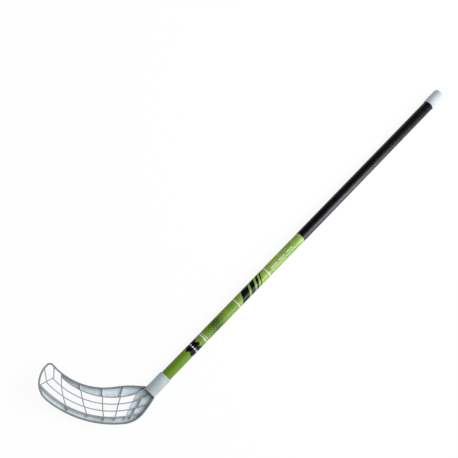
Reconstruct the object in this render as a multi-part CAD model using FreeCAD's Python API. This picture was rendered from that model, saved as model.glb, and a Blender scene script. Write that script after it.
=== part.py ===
import FreeCAD, Part
import math
import os

# A floorball stick for beginners, lying on its back: a straight tube with a printed film and a
# smooth black grip, a cap over its top end, and a one-piece lattice blade whose socket takes the
# tube's lower end and is held by one screw.  All lengths are in millimetres, angles in degrees.

# Shaft
tube_diameter = 19.4
tube_wall = 1.6
film_thickness = 0.3
grip_thickness = 0.5
bond_gap = 0.05
film_length = 358.0
grip_length = 382.0

# End cap
cap_diameter = 23.6
cap_mouth_diameter = 22.4
cap_length = 37.0
cap_end_wall = 3.0
cap_round = 4.0
cap_taper_share = 0.4
cap_clearance = 0.1

# Blade socket
socket_diameter = 23.6
socket_length = 40.0
socket_end_wall = 4.0
socket_clearance = 0.1
socket_mouth_bevel = 0.8
lie_angle = 54.0

# Blade: reach from the socket's end to the toe, drop from there to the lower edge
blade_reach = 190.0
blade_drop = 63.0
rim_width = 3.0
rim_depth = 12.0
rim_bevel = 0.8
rib_width = 1.8
low_rib_width = 2.6
rib_depth = 7.0
web_thickness = 2.0
back_recess = 2.0
hook_depth = 24.0
hook_start_share = 0.5
hook_sweep_share = 1.15

# Outline corners as shares of reach and drop, from the lower edge round the toe to the socket
edge_corner_shares = (
    (-0.076, -0.850),
    (-0.564, -1.190),
    (-1.018, -0.397),
    (-0.996, 0.218),
    (-0.933, 0.464),
    (-0.646, -0.232),
    (-0.206, 0.131),
)
# The last corners, as shares of the socket's radius along and across its axis
heel_corner_shares = (
    (1.27, 0.0),
    (1.16, 0.73),
    (-1.046, 1.337),
)
# Rounding of each corner as a share of its shorter run
edge_round_shares = (0.515, 0.770, 0.636, 0.554, 0.398, 0.868, 0.275, 0.4, 0.4, 0.545)

# Long ribs: arcs about one centre, given by where each crosses below it
rib_centre_shares = (-0.421, 1.825)
long_rib_shares = (0.277, 0.463, 0.651, 0.821)
long_rib_starts = (235.8, 232.5, 231.5, 230.0)
long_rib_ends = (297.0, 295.5, 305.0, 297.0)

# Cross ribs from the top edge to their feet on the bottom band, and how far each bows to the toe
cross_rib_shares = (
    ((-0.816, 0.200), (-0.703, -0.770)),
    ((-0.637, -0.005), (-0.514, -0.873)),
    ((-0.426, -0.040), (-0.368, -0.905)),
    ((-0.237, 0.095), (-0.273, -0.860)),
    ((-0.108, -0.050), (-0.181, -0.801)),
)
cross_rib_bow_shares = (0.065, 0.04, 0.025, 0.02, 0.016)
# Short ribs of the toe
toe_rib_shares = (
    ((-0.985, -0.210), (-0.876, 0.045)),
    ((-0.878, 0.037), (-0.893, 0.360)),
    ((-0.930, -0.115), (-0.975, 0.270)),
)
# Ribs of the heel: two that carry long ribs on to the socket, and three short ones between long ribs
heel_rib_shares = (
    ((-0.110, -0.055), (-0.035, 0.140)),
    ((-0.1005, -0.246), (0.015, -0.010)),
    ((-0.0595, -0.157), (-0.0895, -0.441)),
    ((-0.105, -0.461), (-0.1215, -0.652)),
    ((-0.1315, -0.662), (-0.140, -0.768)),
)

# Blade screw, behind the socket and turned towards the heel
screw_diameter = 3.0
screw_length = 9.0
screw_tip = 2.0
screw_head_diameter = 6.0
screw_head_height = 1.6
screw_head_bevel = 0.7
screw_seat_depth = 0.5
screw_clearance = 0.15
thread_clearance = 0.03
screw_place_share = 0.55
screw_turn = 125.0

overrun = 5.0
edge_tolerance = 0.01

Vec = FreeCAD.Vector
axis_x = Vec(1, 0, 0)
axis_y = Vec(0, 1, 0)
axis_z = Vec(0, 0, 1)
origin = Vec(0, 0, 0)

# Places along the shaft, from the socket's lower end
tube_start = socket_end_wall
film_end = socket_length + film_length
grip_end = film_end + grip_length
cap_end = grip_end + cap_length
tube_end = cap_end - cap_end_wall

# Radii that fit into each other
tube_radius = tube_diameter / 2
tube_bore_radius = tube_radius - tube_wall
film_radius = tube_radius + bond_gap + film_thickness
grip_radius = tube_radius + bond_gap + grip_thickness
socket_radius = socket_diameter / 2
socket_bore_radius = film_radius + socket_clearance


def along_shaft(radius, start, end):
    """Solid round bar on the shaft's axis."""
    return Part.makeCylinder(radius, end - start, axis_x * start, axis_x)


def sleeve(inner, outer, start, end):
    """Tube on the shaft's axis."""
    return along_shaft(outer, start, end).cut(along_shaft(inner, start - overrun, end + overrun))


def blade_point(shares):
    """Point of the blade's plane; x towards the heel, y towards the top edge."""
    return Vec(shares[0] * blade_reach, shares[1] * blade_drop, 0)


def socket_point(shares):
    """Point of the blade's plane given along and across the socket's axis."""
    lie = math.radians(lie_angle)
    along = Vec(math.cos(lie), math.sin(lie), 0)
    across = Vec(math.sin(lie), -math.cos(lie), 0)
    return (along * shares[0] + across * shares[1]) * socket_radius


def rounded_outline(corners, round_shares):
    """Closed wire of straight runs joined by tangent arcs."""
    arcs = []
    for place, corner in enumerate(corners):
        back = corners[place - 1] - corner
        ahead = corners[(place + 1) % len(corners)] - corner
        tangent = round_shares[place] * min(back.Length, ahead.Length)
        half = back.getAngle(ahead) / 2
        start = corner + back * (tangent / back.Length)
        end = corner + ahead * (tangent / ahead.Length)
        bisector = (start + end) / 2 - corner
        to_arc = tangent / math.cos(half) - tangent * math.tan(half)
        middle = corner + bisector * (to_arc / bisector.Length)
        arcs.append((start, middle, end))
    edges = []
    for place, (start, middle, end) in enumerate(arcs):
        edges.append(Part.LineSegment(arcs[place - 1][2], start).toShape())
        edges.append(Part.Arc(start, middle, end).toShape())
    return Part.Wire(edges)


def strip(start, end, width):
    """Straight band of a given width in the blade's plane."""
    run = end - start
    side = Vec(-run.y, run.x, 0) * (width / 2 / run.Length)
    corners = [start + side, start - side, end - side, end + side]
    return Part.Face(Part.makePolygon(corners + corners[:1]))


def arc_strip(centre, radius, width, first, last):
    """Band along an arc in the blade's plane."""
    outer = Part.makeCircle(radius + width / 2, centre, axis_z, first, last)
    inner = Part.makeCircle(radius - width / 2, centre, axis_z, first, last)
    first_end = Part.LineSegment(inner.firstVertex().Point, outer.firstVertex().Point).toShape()
    last_end = Part.LineSegment(outer.lastVertex().Point, inner.lastVertex().Point).toShape()
    return Part.Face(Part.Wire([first_end, outer, last_end, inner]))


def bowed_strip(start, end, bow_share, width):
    """Band from start to end that bows to its right by a share of its length."""
    run = end - start
    middle = (start + end) / 2 + Vec(run.y, -run.x, 0) * bow_share
    circle = Part.Arc(start, middle, end).toShape().Curve
    turns = []
    for spoke in (start - circle.Center, end - circle.Center):
        turns.append(math.degrees(math.atan2(spoke.y, spoke.x)) % 360)
    return arc_strip(circle.Center, circle.Radius, width, min(turns), max(turns))


def hook_slab(low, high, box):
    """Slab between two heights above the blade's back: flat at the heel, bent up to the toe."""
    bend_start = -hook_start_share * blade_reach
    run = blade_reach + bend_start
    radius = (run ** 2 + hook_depth ** 2) / (2 * hook_depth)
    sweep = hook_sweep_share * math.asin(run / (radius - rim_depth))
    centre = Vec(bend_start, box.YMin - overrun, radius - socket_radius)

    def bent(height, turn):
        reach = radius - height
        return centre + Vec(-reach * math.sin(turn), 0, -reach * math.cos(turn))

    heel = axis_x * (box.XMax + overrun - bend_start)
    edges = [
        Part.LineSegment(bent(low, 0) + heel, bent(low, 0)).toShape(),
        Part.Arc(bent(low, 0), bent(low, sweep / 2), bent(low, sweep)).toShape(),
        Part.LineSegment(bent(low, sweep), bent(high, sweep)).toShape(),
        Part.Arc(bent(high, sweep), bent(high, sweep / 2), bent(high, 0)).toShape(),
        Part.LineSegment(bent(high, 0), bent(high, 0) + heel).toShape(),
        Part.LineSegment(bent(high, 0) + heel, bent(low, 0) + heel).toShape(),
    ]
    return Part.Face(Part.Wire(edges)).extrude(axis_y * (box.YLength + 2 * overrun))


def raised(face):
    """Upright prism of a face in the blade's plane, tall enough for every slab."""
    tall = 2 * (socket_radius + hook_depth + rim_depth + overrun)
    return face.translated(axis_z * (-tall / 2)).extrude(axis_z * tall)


def blade_rim(outline, pocket):
    """Wall round the blade with bevelled edges."""
    ring = raised(Part.Face(outline).cut(Part.Face(pocket)))
    rim = ring.common(hook_slab(0, rim_depth, outline.BoundBox)).Solids[0]
    wall_edges = []
    for edge in rim.Edges:
        middle = edge.valueAt((edge.FirstParameter + edge.LastParameter) / 2)
        foot = Part.Vertex(middle.x, middle.y, 0)
        upright = abs(edge.tangentAt(edge.FirstParameter).z) > 1 - edge_tolerance
        off_wall = min(foot.distToShape(outline)[0], foot.distToShape(pocket)[0])
        if off_wall < edge_tolerance and not upright:
            wall_edges.append(edge)
    return rim.makeChamfer(rim_bevel, wall_edges)


def blade_ribs(outline):
    """Lattice of long arcs, cross ribs and the short ribs at the toe and heel."""
    centre = blade_point(rib_centre_shares)
    bands = []
    for share, first, last in zip(long_rib_shares, long_rib_starts, long_rib_ends):
        radius = centre.y + share * blade_drop
        width = low_rib_width if share == max(long_rib_shares) else rib_width
        bands.append(arc_strip(centre, radius, width, first, last))
    for (start, end), bow_share in zip(cross_rib_shares, cross_rib_bow_shares):
        bands.append(bowed_strip(blade_point(start), blade_point(end), bow_share, rib_width))
    for start, end in toe_rib_shares + heel_rib_shares:
        bands.append(strip(blade_point(start), blade_point(end), rib_width))
    lattice = raised(bands[0]).fuse([raised(band) for band in bands[1:]])
    slab = hook_slab(back_recess, back_recess + rib_depth, outline.BoundBox)
    return lattice.common(raised(Part.Face(outline))).common(slab)


def blade_webs(outline):
    """Closed floor of the top band, the bottom band and the heel."""
    whole = Part.Face(outline)
    box = outline.BoundBox
    centre = blade_point(rib_centre_shares)
    top_arc = Part.makeCircle(centre.y + long_rib_shares[0] * blade_drop, centre)
    low_arc = Part.makeCircle(centre.y + long_rib_shares[-1] * blade_drop, centre)
    top_start = centre.x + top_arc.Curve.Radius * math.cos(math.radians(long_rib_starts[0]))
    top_side = Part.makePlane(box.XMax - top_start, box.YLength, Vec(top_start, box.YMin, 0))
    heel_top = blade_point(cross_rib_shares[-1][0])
    heel_foot = blade_point(cross_rib_shares[-1][1])
    past = heel_top - heel_foot
    aside = axis_x * box.XLength
    heel_corners = [heel_top + past, heel_foot - past, heel_foot - past + aside, heel_top + past + aside]
    heel_side = Part.Face(Part.makePolygon(heel_corners + heel_corners[:1]))
    top_band = whole.common(Part.Face(Part.Wire(top_arc))).common(top_side)
    bottom_band = whole.cut(Part.Face(Part.Wire(low_arc)))
    heel = whole.common(heel_side)
    floor = raised(top_band).fuse([raised(bottom_band), raised(heel)])
    return floor.common(hook_slab(back_recess, back_recess + web_thickness, box))


def blade_socket():
    """Solid round socket with a bevelled mouth."""
    body = along_shaft(socket_radius, 0, socket_length)
    mouth = [edge for edge in body.Edges if abs(edge.CenterOfMass.x - socket_length) < edge_tolerance]
    return body.makeChamfer(socket_mouth_bevel, mouth)


def screw_frame(shape):
    """Turn a shape made along +Z about the shaft and move it to the screw's place."""
    placed = shape.copy()
    placed.rotate(origin, axis_x, screw_turn)
    placed.translate(axis_x * (screw_place_share * socket_length))
    return placed


def screw_hole(radius):
    return screw_frame(Part.makeCylinder(radius, socket_diameter))


def make_blade():
    corners = [blade_point(shares) for shares in edge_corner_shares]
    corners += [socket_point(shares) for shares in heel_corner_shares]
    outline = rounded_outline(corners, edge_round_shares)
    pocket = outline.makeOffset2D(-rim_width)
    rim = blade_rim(outline, pocket)
    moulding = rim.fuse([blade_ribs(outline), blade_webs(outline)])
    moulding.rotate(origin, axis_z, -lie_angle)
    seat_place = axis_z * (socket_radius - screw_seat_depth)
    seat_radius = screw_head_diameter / 2 + screw_clearance
    seat = screw_frame(Part.makeCylinder(seat_radius, overrun, seat_place))
    bore = along_shaft(socket_bore_radius, socket_end_wall, socket_length + overrun)
    moulding = moulding.fuse(blade_socket())
    return moulding.cut([bore, seat, screw_hole(screw_diameter / 2 + screw_clearance)]).removeSplitter()


def make_shaft_tube():
    tube = sleeve(tube_bore_radius, tube_radius, tube_start, tube_end)
    return tube.cut(screw_hole(screw_diameter / 2 + thread_clearance))


def make_shaft_film():
    film = sleeve(tube_radius + bond_gap, film_radius, tube_start, film_end)
    return film.cut(screw_hole(screw_diameter / 2 + thread_clearance))


def make_grip():
    return sleeve(tube_radius + bond_gap, grip_radius, film_end, grip_end)


def make_end_cap():
    radius = cap_diameter / 2
    bore = tube_radius + cap_clearance
    taper_end = grip_end + cap_taper_share * cap_length
    round_centre = Vec(cap_end - cap_round, 0, radius - cap_round)
    round_middle = round_centre + Vec(1, 0, 1) * (cap_round * math.sqrt(0.5))
    profile = [
        Part.LineSegment(Vec(tube_end, 0, 0), Vec(tube_end, 0, bore)),
        Part.LineSegment(Vec(tube_end, 0, bore), Vec(grip_end, 0, bore)),
        Part.LineSegment(Vec(grip_end, 0, bore), Vec(grip_end, 0, cap_mouth_diameter / 2)),
        Part.LineSegment(Vec(grip_end, 0, cap_mouth_diameter / 2), Vec(taper_end, 0, radius)),
        Part.LineSegment(Vec(taper_end, 0, radius), round_centre + axis_z * cap_round),
        Part.Arc(round_centre + axis_z * cap_round, round_middle, round_centre + axis_x * cap_round),
        Part.LineSegment(round_centre + axis_x * cap_round, Vec(cap_end, 0, 0)),
        Part.LineSegment(Vec(cap_end, 0, 0), Vec(tube_end, 0, 0)),
    ]
    wire = Part.Wire([edge.toShape() for edge in profile])
    return Part.Face(wire).revolve(origin, axis_x, 360)


def make_blade_screw():
    seat = socket_radius - screw_seat_depth
    head = Part.makeCylinder(screw_head_diameter / 2, screw_head_height, axis_z * seat)
    top = [edge for edge in head.Edges if edge.CenterOfMass.z > seat + screw_head_height - edge_tolerance]
    head = head.makeChamfer(screw_head_bevel, top)
    shank_length = screw_length - screw_tip
    shank = Part.makeCylinder(screw_diameter / 2, shank_length, axis_z * (seat - shank_length))
    tip = Part.makeCone(0, screw_diameter / 2, screw_tip, axis_z * (seat - screw_length))
    return screw_frame(head.fuse([shank, tip]).removeSplitter())


pieces = {
    "blade": make_blade(),
    "shaft_tube": make_shaft_tube(),
    "shaft_film": make_shaft_film(),
    "grip": make_grip(),
    "end_cap": make_end_cap(),
    "blade_screw": make_blade_screw(),
}

# The origin is under the middle of the stick's box, on the surface it lies on
box = Part.makeCompound(list(pieces.values())).optimalBoundingBox()
to_origin = Vec(-box.Center.x, -box.Center.y, -box.ZMin)

os.makedirs("parts", exist_ok=True)
for name, shape in pieces.items():
    placed = shape.translated(to_origin)
    placed.exportStep("parts/" + name + ".step")
    print(name, "solids", len(placed.Solids), "volume", round(placed.Volume), "valid", placed.isValid())
print("box", [round(value, 1) for value in (box.XLength, box.YLength, box.ZLength)])
print("shaft axis at", to_origin)
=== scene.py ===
# %% [markdown]
# # A floorball stick
# The stick lies on a pale floor with the hollow face of its blade up. The imported model is the fixed
# frame: it says where every piece is, and this lesson dresses those pieces. We load it first and read
# the boxes of its pieces. The dressed stick has to stay inside it.

# %% Load the frame
import math

import bmesh
import bpy
import numpy as np
from mathutils import Matrix, Vector


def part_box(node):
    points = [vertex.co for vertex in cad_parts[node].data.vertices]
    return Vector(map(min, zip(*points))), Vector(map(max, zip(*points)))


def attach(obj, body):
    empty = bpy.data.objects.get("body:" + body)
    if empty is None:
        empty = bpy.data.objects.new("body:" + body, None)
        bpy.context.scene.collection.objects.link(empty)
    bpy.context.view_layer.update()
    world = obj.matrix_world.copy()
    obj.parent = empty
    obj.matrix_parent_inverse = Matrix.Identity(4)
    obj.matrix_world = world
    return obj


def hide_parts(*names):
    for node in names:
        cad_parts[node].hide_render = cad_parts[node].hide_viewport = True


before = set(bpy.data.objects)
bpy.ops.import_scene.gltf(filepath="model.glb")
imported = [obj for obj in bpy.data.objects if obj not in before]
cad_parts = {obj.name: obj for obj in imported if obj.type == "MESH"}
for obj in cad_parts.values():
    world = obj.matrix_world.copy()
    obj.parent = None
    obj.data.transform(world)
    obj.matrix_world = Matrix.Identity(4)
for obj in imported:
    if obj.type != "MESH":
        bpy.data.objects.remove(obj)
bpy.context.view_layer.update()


print("nodes:", sorted(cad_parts))

# %% [markdown]
# ## What the frame tells us
# The shaft is a line along X. Its height and the ends of each piece are read from the nodes' boxes, so
# every piece below is placed by the frame and not by eye. All lengths are in metres, so `mm` keeps the
# small ones readable.

# %% Measure the shaft
mm = 0.001
film_low, film_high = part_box("shaft_film")
grip_low, grip_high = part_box("grip")
cap_low, cap_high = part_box("end_cap")
shaft_y = (film_low.y + film_high.y) / 2
shaft_z = (film_low.z + film_high.z) / 2
film_radius = (film_high.z - film_low.z) / 2
grip_radius = (grip_high.z - grip_low.z) / 2
cap_radius = (cap_high.z - cap_low.z) / 2
socket_radius = shaft_z
socket_length = 40 * mm
socket_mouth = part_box("blade")[1].x
socket_start = socket_mouth - socket_length
print("shaft axis at y, z:", round(shaft_y, 4), round(shaft_z, 4))

# %% [markdown]
# ## Camera
# The photograph looks down on the stick from above its blade, so the shaft runs away from the camera and
# narrows towards its cap. The camera stands where those widths say, and its focal length is given in
# pixels of the square picture.

# %% Place the camera
scene = bpy.context.scene
picture_side = 458
focal_pixels = 855
sensor_width = 36.0
eye_from_mouth = Vector((-0.13773, 0.10358, 1.52069))
look_right = Vector((0.684388, -0.705661, 0.183448))
look_up = Vector((0.681255, 0.708548, 0.183990))
look_back = Vector((-0.259822, -0.000951, 0.965654))

camera_data = bpy.data.cameras.new("camera")
camera_data.sensor_width = sensor_width
camera_data.lens = sensor_width * focal_pixels / picture_side
camera_data.clip_end = 20.0
camera = bpy.data.objects.new("camera", camera_data)
scene.collection.objects.link(camera)
camera_turn = Matrix((look_right, look_up, look_back)).transposed().to_4x4()
eye = Vector((socket_mouth, shaft_y, shaft_z)) + eye_from_mouth
camera.matrix_world = Matrix.Translation(eye) @ camera_turn
scene.camera = camera
print("lens:", round(camera_data.lens, 1), "mm")

# %% [markdown]
# ## A helper for nodes
# The world, the floor, every finish and two of the shapes below are node trees. One function adds a
# node and fills its inputs, each with a plain value or with a link, so a tree reads from top to bottom.
# Two more name the nodes that are used most: arithmetic, and a range mapped to another.

# %% Node helpers
def add(tree, kind, inputs=None, **settings):
    """New node whose inputs are given as values or as sockets to link."""
    made = tree.nodes.new(kind)
    for key, value in settings.items():
        setattr(made, key, value)
    for key, value in (inputs or {}).items():
        if isinstance(value, bpy.types.NodeSocket):
            tree.links.new(value, made.inputs[key])
        else:
            made.inputs[key].default_value = value
    return made


def calc(tree, operation, *values):
    """Math node with values or sockets as its inputs."""
    return add(tree, "ShaderNodeMath", dict(enumerate(values)), operation=operation).outputs[0]


def ramp(tree, factor, low, high, to_low, to_high, **settings):
    """Value that goes from to_low to to_high while the factor goes from low to high."""
    sizes = {"Value": factor, "From Min": low, "From Max": high, "To Min": to_low, "To Max": to_high}
    return add(tree, "ShaderNodeMapRange", sizes, **settings).outputs["Result"]


print("node helpers ready")

# %% [markdown]
# ## Light: three soft boxes
# A key box above the cap's end gives the soft shade that the rim and the ribs throw into the blade. A
# small lamp beside the cap turns its near side white. A tall box beside the grip makes the long
# highlight on the shaft: it shows in gloss alone, so the level of light stays plain. The other two are
# kept out of the gloss, so that no square lamp shows in it.

# %% Place the lamps
scene.view_settings.view_transform = "Standard"


def soft_lamp(name, target, offset, wide, tall, power):
    """Oblong area lamp at an offset from the target that it looks at."""
    data = bpy.data.lights.new(name, "AREA")
    data.shape = "RECTANGLE"
    data.size = wide
    data.size_y = tall
    data.energy = power
    lamp = bpy.data.objects.new(name, data)
    facing = offset.to_track_quat("Z", "Y").to_matrix().to_4x4()
    lamp.matrix_world = Matrix.Translation(target + offset) @ facing
    lamp.visible_camera = False
    scene.collection.objects.link(lamp)
    return lamp


stick_middle = Vector((0.0, shaft_y, shaft_z))
key_offset, key_side, key_power = Vector((1.28, -0.85, 1.55)), 1.0, 28.0
key_box = soft_lamp("key_box", stick_middle, key_offset, key_side, key_side, key_power)
key_box.visible_glossy = False

cap_middle = (cap_low + cap_high) / 2
cap_offset, cap_lamp_side, cap_power = Vector((0.23, -0.27, 0.15)), 0.25, 1.3
cap_lamp = soft_lamp("cap_lamp", cap_middle, cap_offset, cap_lamp_side, cap_lamp_side, cap_power)
cap_lamp.visible_glossy = False

lower_grip = Vector((0.02, shaft_y, shaft_z))
gloss_offset = Vector((0.63, -1.45, 0.80)) - lower_grip
gloss_wide, gloss_tall, gloss_power = 0.56, 1.8, 58.0
gloss_box = soft_lamp("gloss_box", lower_grip, gloss_offset, gloss_wide, gloss_tall, gloss_power)
gloss_box.visible_diffuse = False
gloss_box.data.color = (0.86, 0.93, 1.0)

# %% [markdown]
# ## Light: the world
# The world is bright on one side of the shaft and dim on the other, so each round piece runs from dark
# to bright across its width. One smooth step over the ray's direction does that, with no picture. Glossy
# surfaces would mirror the whole of it and look milky, so they see a small share.

# %% Light the world
bright_side, dim_side, mirrored_share = 1.36, 0.06, 0.1
to_bright_side = Vector((0.6, -0.8, 0.2)).normalized()
world_tint = (0.95, 0.97, 1.0, 1.0)

world = bpy.data.worlds.new("studio")
world.use_nodes = True
sky = world.node_tree
ray = add(sky, "ShaderNodeTexCoord").outputs["Generated"]
ray_side = add(sky, "ShaderNodeVectorMath", {0: ray, 1: to_bright_side}, operation="DOT_PRODUCT")
level = ramp(sky, ray_side.outputs["Value"], -1.0, 1.0, dim_side, bright_side,
             interpolation_type="SMOOTHSTEP")
is_glossy = add(sky, "ShaderNodeLightPath").outputs["Is Glossy Ray"]
shown = ramp(sky, is_glossy, 0.0, 1.0, 1.0, mirrored_share)
backdrop = sky.nodes["Background"]
backdrop.inputs["Color"].default_value = world_tint
sky.links.new(calc(sky, "MULTIPLY", level, shown), backdrop.inputs["Strength"])
scene.world = world
print("world nodes:", len(sky.nodes))

# %% [markdown]
# ## Light: the floor
# The floor is white paper. To the camera, and in glossy or clear surfaces, most of it is a plain white
# of strength 1. The rest is matte paper under the lamps, and that part keeps the stick's faint shadow.

# %% Lay the floor
floor_half, floor_drop, floor_white_share = 3.0, 0.2 * mm, 0.92
paper_white = (0.86, 0.86, 0.86, 1.0)
floor_mesh = bpy.data.meshes.new("floor")
floor_corners = []
for x, y in ((-1, -1), (1, -1), (1, 1), (-1, 1)):
    floor_corners.append((x * floor_half, y * floor_half, -floor_drop))
floor_mesh.from_pydata(floor_corners, [], [(0, 1, 2, 3)])
floor = bpy.data.objects.new("floor", floor_mesh)
scene.collection.objects.link(floor)

paper = bpy.data.materials.new("white_paper")
paper.use_nodes = True
paper_tree = paper.node_tree
paper_tree.nodes.clear()
rays = add(paper_tree, "ShaderNodeLightPath").outputs
seen = calc(paper_tree, "MAXIMUM", rays["Is Camera Ray"], rays["Is Glossy Ray"])
seen = calc(paper_tree, "MAXIMUM", seen, rays["Is Transmission Ray"])
white_share = calc(paper_tree, "MULTIPLY", seen, floor_white_share)
matte = add(paper_tree, "ShaderNodeBsdfDiffuse", {"Color": paper_white}).outputs[0]
white = add(paper_tree, "ShaderNodeEmission", {"Strength": 1.0}).outputs[0]
blend = add(paper_tree, "ShaderNodeMixShader", {"Fac": white_share, 1: matte, 2: white}).outputs[0]
add(paper_tree, "ShaderNodeOutputMaterial", {"Surface": blend})
floor_mesh.materials.append(paper)
print("floor:", 2 * floor_half, "m wide")

# %% [markdown]
# ## Shapes: rounded paths
# Most outlines here are corners joined by tangent arcs: the blade's edge, and the profiles of the
# socket, the cap and the screw. A Bevel modifier could round a finished mesh, but rounding the path
# itself keeps each arc true and needs only the corner and the length of its rounding.

# %% Path helpers
def rounded_path(corners, rounds, closed, steps=8):
    """Points of a path whose corners are arcs; a round is the tangent length at its corner."""
    points = []
    for place, corner in enumerate(corners):
        is_end = not closed and place in (0, len(corners) - 1)
        if is_end or rounds[place] == 0:
            points.append(corner.copy())
            continue
        back = (corners[place - 1] - corner).normalized()
        ahead = (corners[(place + 1) % len(corners)] - corner).normalized()
        half = back.angle(ahead) / 2
        bisector = (back + ahead).normalized()
        radius = rounds[place] * math.tan(half)
        centre = corner + bisector * (rounds[place] / math.cos(half))
        start = corner + back * rounds[place] - centre
        end = corner + ahead * rounds[place] - centre
        first = math.atan2(start.y, start.x)
        sweep = (math.atan2(end.y, end.x) - first + math.pi) % (2 * math.pi) - math.pi
        for step in range(steps + 1):
            turn = first + sweep * step / steps
            points.append(centre + Vector((math.cos(turn), math.sin(turn))) * radius)
    return points


def edge_profile(*corners):
    """Lathe profile from (x, radius, rounding) corners, both ends on the axis."""
    rounds = [corner[2] for corner in corners]
    path = rounded_path([Vector(corner[:2]) for corner in corners], rounds, False, 6)
    return [(point.x, point.y) for point in path]


print("path helpers ready")

# %% [markdown]
# ## Shapes: the lathe
# All pieces but the blade are round. They could start from cylinders, but a profile that is turned about
# the shaft, as on a lathe, gives each taper, bore and rounding in one go. Every mesh ends with its faces
# turned outwards and with smooth shading up to a sharp angle.

# %% Lathe helpers
on_axis = 0.001 * mm


def finished(mesh, sharp_degrees=35):
    """Face outwards and shade smooth up to a sharp angle."""
    work = bmesh.new()
    work.from_mesh(mesh)
    bmesh.ops.recalc_face_normals(work, faces=work.faces)
    work.to_mesh(mesh)
    work.free()
    mesh.shade_smooth()
    mesh.set_sharp_from_angle(angle=math.radians(sharp_degrees))
    return mesh


def turned(name, profile, closed=False, sides=96):
    """Mesh turned about the shaft's axis from (x, radius) points; a radius of 0 closes an end."""
    points, rings, faces = [], [], []
    for x, radius in profile:
        if radius < on_axis:
            rings.append([len(points)] * sides)
            points.append((x, shaft_y, shaft_z))
            continue
        rings.append(list(range(len(points), len(points) + sides)))
        for side in range(sides):
            turn = 2 * math.pi * side / sides
            points.append((x, shaft_y + radius * math.cos(turn), shaft_z + radius * math.sin(turn)))
    for low, high in zip(rings, rings[1:] + (rings[:1] if closed else [])):
        for side in range(sides):
            after = (side + 1) % sides
            corners = [low[side], low[after], high[after], high[side]]
            faces.append(list(dict.fromkeys(corners)))
    mesh = bpy.data.meshes.new(name)
    mesh.from_pydata(points, [], faces)
    return finished(mesh)


print("lathe ready")

# %% [markdown]
# ## Shapes: node trees
# A rim or a rib follows a path, which is what Geometry Nodes are good at. A tree has named inputs for
# its sizes and ends in real geometry with a material. `grow` runs a tree on a small guide mesh and hands
# back a plain mesh, so no modifier is left behind.

# %% Tree helpers
def new_tree(name, sizes):
    """Empty Geometry Nodes tree with one named input for each size."""
    tree = bpy.data.node_groups.new(name, "GeometryNodeTree")
    tree.interface.new_socket("Guide", in_out="INPUT", socket_type="NodeSocketGeometry")
    for size in sizes:
        tree.interface.new_socket(size, in_out="INPUT", socket_type="NodeSocketFloat")
    tree.interface.new_socket("Material", in_out="INPUT", socket_type="NodeSocketMaterial")
    tree.interface.new_socket("Piece", in_out="OUTPUT", socket_type="NodeSocketGeometry")
    return tree


def coat(tree, mesh, material):
    """Last nodes of a tree: real geometry with its material."""
    real = add(tree, "GeometryNodeRealizeInstances", {"Geometry": mesh})
    coated = add(tree, "GeometryNodeSetMaterial",
                 {"Geometry": real.outputs["Geometry"], "Material": material})
    add(tree, "NodeGroupOutput", {"Piece": coated.outputs["Geometry"]})
    return tree


def plain_mesh(holder):
    """The evaluated mesh of a helper object, which is then removed with its modifiers."""
    bpy.context.view_layer.update()
    evaluated = holder.evaluated_get(bpy.context.evaluated_depsgraph_get())
    mesh = bpy.data.meshes.new_from_object(evaluated)
    holder.modifiers.clear()
    bpy.data.objects.remove(holder)
    return mesh


def grow(guide, tree, sizes):
    """Run a tree on a guide mesh, with its inputs set by their identifiers."""
    holder = bpy.data.objects.new(guide.name, guide)
    scene.collection.objects.link(holder)
    modifier = holder.modifiers.new("grow", "NODES")
    modifier.node_group = tree
    for item in tree.interface.items_tree:
        if item.in_out == "INPUT" and item.name in sizes:
            modifier[item.identifier] = sizes[item.name]
    return plain_mesh(holder)


print("tree helpers ready")

# %% [markdown]
# ## Shapes: Boolean steps
# A moulding is many simple solids in one skin, and a hole is one solid taken from another. The Boolean
# modifier does both, and `combine` hands back a plain mesh again. Each face carries a tone, a number
# that these steps pass on and that the blade's finish reads later as painted light and shade.

# %% Boolean helpers
def combine(base, other, operation):
    """Union, difference or intersection of two closed meshes."""
    tool = bpy.data.objects.new("tool", other)
    scene.collection.objects.link(tool)
    tool.hide_render = True
    holder = bpy.data.objects.new("base", base)
    scene.collection.objects.link(holder)
    modifier = holder.modifiers.new("combine", "BOOLEAN")
    modifier.operation = operation
    modifier.solver = "MANIFOLD"
    modifier.object = tool
    mesh = plain_mesh(holder)
    bpy.data.objects.remove(tool)
    return mesh


def toned(mesh, tone):
    """Mark every face with a tone, later read as painted light and shade, that the Boolean steps carry
    along.
    """
    mark = mesh.attributes.new("tone", "FLOAT", "FACE")
    mark.data.foreach_set("value", [tone] * len(mesh.polygons))
    return mesh


print("Boolean helpers ready")

# %% [markdown]
# ## Blade: the outline
# The blade is one moulding: a deep rim, a lattice of thin ribs, a closed floor along its edges and the
# socket. Its outline is a ring of corners given as shares of the reach and the drop. We draw it flat,
# because a flat lattice is easy to lay out, and bend the toe up at the end.

# %% Draw the outline
reach, drop = 190 * mm, 63 * mm
lie = math.radians(54)
edge_corner_shares = (
    (-0.076, -0.850), (-0.564, -1.190), (-1.018, -0.397), (-0.996, 0.218),
    (-0.933, 0.464), (-0.646, -0.232), (-0.206, 0.131),
)
heel_corner_shares = ((1.27, 0.0), (1.16, 0.73), (-1.046, 1.337))
edge_round_shares = (0.515, 0.770, 0.636, 0.554, 0.398, 0.868, 0.275, 0.4, 0.4, 0.545)


def blade_point(shares):
    """Point of the flat blade: x towards the heel, y towards the top edge."""
    return Vector((shares[0] * reach, shares[1] * drop))


def socket_point(shares):
    """Point of the flat blade given along and across the socket's axis."""
    along = Vector((math.cos(lie), math.sin(lie)))
    across = Vector((math.sin(lie), -math.cos(lie)))
    return (along * shares[0] + across * shares[1]) * socket_radius


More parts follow.
